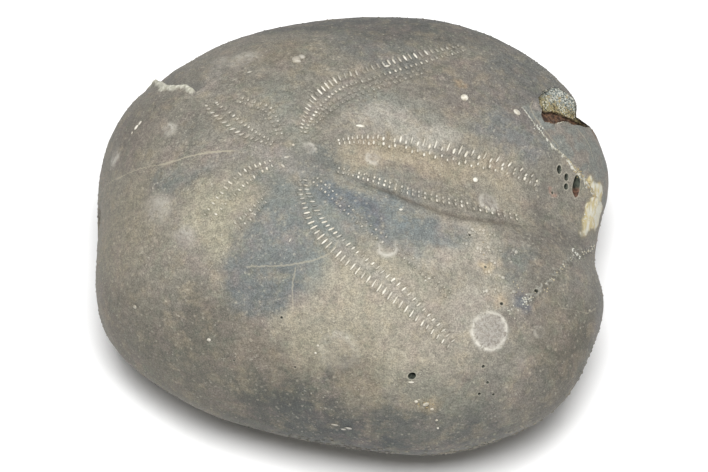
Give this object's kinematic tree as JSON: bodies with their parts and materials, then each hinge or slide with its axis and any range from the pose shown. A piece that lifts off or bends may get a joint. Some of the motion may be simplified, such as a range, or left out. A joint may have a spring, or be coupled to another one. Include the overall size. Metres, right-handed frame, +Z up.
{
  "type": "fossil sea urchin",
  "caption": "Fossil heart urchin: a domed stone test with a front groove, petal-shaped rows of pores and a chipped shoulder, resting on its flat underside.",
  "frame": {"origin": "on the surface that the fossil rests on, under the middle of its outline", "axes": "+X towards the notched front of the test, +Z up, out of the crown"},
  "size_m": [0.0756, 0.0697, 0.041],
  "materials": {
    "fossil_limestone": "matt taupe-grey fossil limestone with white calcite in the pores and cracks"
  },
  "bodies": {
    "root": {"sea_urchin_test": "fossil_limestone"}
  },
  "joints": []
}
